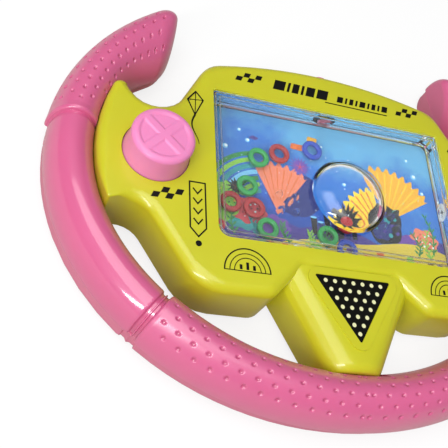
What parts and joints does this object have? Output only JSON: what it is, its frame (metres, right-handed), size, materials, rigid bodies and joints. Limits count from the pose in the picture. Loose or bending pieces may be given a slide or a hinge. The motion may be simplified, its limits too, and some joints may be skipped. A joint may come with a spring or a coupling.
{
  "type": "handheld water game",
  "caption": "Handheld water game shaped like a steering wheel: a C-shaped rim, a flat casing with a clear water tank, loose rings and pegs, and two push buttons.",
  "frame": {"origin": "middle of the bounding box in plan, at the back face it lies on", "axes": "+Z out of the player's side, +X to the player's right, +Y towards the open end of the rim"},
  "size_m": [0.2002, 0.1496, 0.0308],
  "materials": {
    "casing_yellow": "gloss",
    "rim_pink": "satin",
    "back_pink": "satin",
    "button_pink": "satin",
    "clear_plastic": "clear gloss",
    "clear_back": "clear gloss",
    "picture": "printed",
    "panel_black": "printed",
    "plug_rubber": "matt",
    "bellows_rubber": "matt",
    "nozzle_white": "matt",
    "screw_steel": "plain",
    "ring_green": "gloss",
    "ring_red": "gloss",
    "ring_navy": "gloss"
  },
  "bodies": {
    "base": {"front_casing": "casing_yellow", "rim_front": "rim_pink", "back_shell": "back_pink", "spoke_panel": "panel_black", "tank_front": "clear_plastic", "tank_back": "clear_back", "picture_card": "picture", "peg_cluster_left": "clear_plastic", "peg_cluster_right": "clear_plastic", "bulb_left": "bellows_rubber", "bulb_right": "bellows_rubber", "nozzle_left": "nozzle_white", "nozzle_right": "nozzle_white", "casing_screws": "screw_steel", "rim_screws": "screw_steel"},
    "button_left": {"button_left": "button_pink"},
    "button_right": {"button_right": "button_pink"},
    "fill_plug": {"fill_plug": "plug_rubber"},
    "ring_green_1": {"ring_green_1": "ring_green"},
    "ring_green_2": {"ring_green_2": "ring_green"},
    "ring_green_3": {"ring_green_3": "ring_green"},
    "ring_green_4": {"ring_green_4": "ring_green"},
    "ring_red_1": {"ring_red_1": "ring_red"},
    "ring_red_2": {"ring_red_2": "ring_red"},
    "ring_red_3": {"ring_red_3": "ring_red"},
    "ring_red_4": {"ring_red_4": "ring_red"},
    "ring_navy_1": {"ring_navy_1": "ring_navy"},
    "ring_navy_2": {"ring_navy_2": "ring_navy"}
  },
  "joints": [
    {"name": "button_left_press", "type": "slide", "parent": "base", "child": "button_left", "axis": [0, 0, -1], "range_m": [0, 0.0045], "stiffness_N_per_m": 500, "springref_m": -0.001, "deforming": ["bulb_left"]},
    {"name": "button_right_press", "type": "slide", "parent": "base", "child": "button_right", "axis": [0, 0, -1], "range_m": [0, 0.0045], "stiffness_N_per_m": 500, "springref_m": -0.001, "deforming": ["bulb_right"]},
    {"name": "plug_pull", "type": "slide", "parent": "base", "child": "fill_plug", "axis": [0, 1, 0], "range_m": [0, 0.009]},
    {"name": "ring_green_1_float", "type": "slide", "parent": "base", "child": "ring_green_1", "axis": [0, 1, 0], "range_m": [0, 0.01375]},
    {"name": "ring_green_2_float", "type": "slide", "parent": "base", "child": "ring_green_2", "axis": [-0.5, 0.866, 0], "range_m": [0, 0.01375]},
    {"name": "ring_green_3_float", "type": "slide", "parent": "base", "child": "ring_green_3", "axis": [1, 0, 0], "range_m": [0, 0.01375]},
    {"name": "ring_green_4_float", "type": "slide", "parent": "base", "child": "ring_green_4", "axis": [-0.2588, 0.9659, 0], "range_m": [0, 0.01375]},
    {"name": "ring_red_1_float", "type": "slide", "parent": "base", "child": "ring_red_1", "axis": [0, 1, 0], "range_m": [0, 0.0115]},
    {"name": "ring_red_2_float", "type": "slide", "parent": "base", "child": "ring_red_2", "axis": [-0.2588, -0.9659, 0], "range_m": [0, 0.01075]},
    {"name": "ring_red_3_float", "type": "slide", "parent": "base", "child": "ring_red_3", "axis": [0.866, 0.5, 0], "range_m": [0, 0.003]},
    {"name": "ring_red_4_float", "type": "slide", "parent": "base", "child": "ring_red_4", "axis": [0, 1, 0], "range_m": [0, 0.01375]},
    {"name": "ring_navy_1_float", "type": "slide", "parent": "base", "child": "ring_navy_1", "axis": [0.7071, 0.7071, 0], "range_m": [0, 0.01075]},
    {"name": "ring_navy_2_float", "type": "slide", "parent": "base", "child": "ring_navy_2", "axis": [0.866, 0.5, 0], "range_m": [0, 0.0115]}
  ]
}
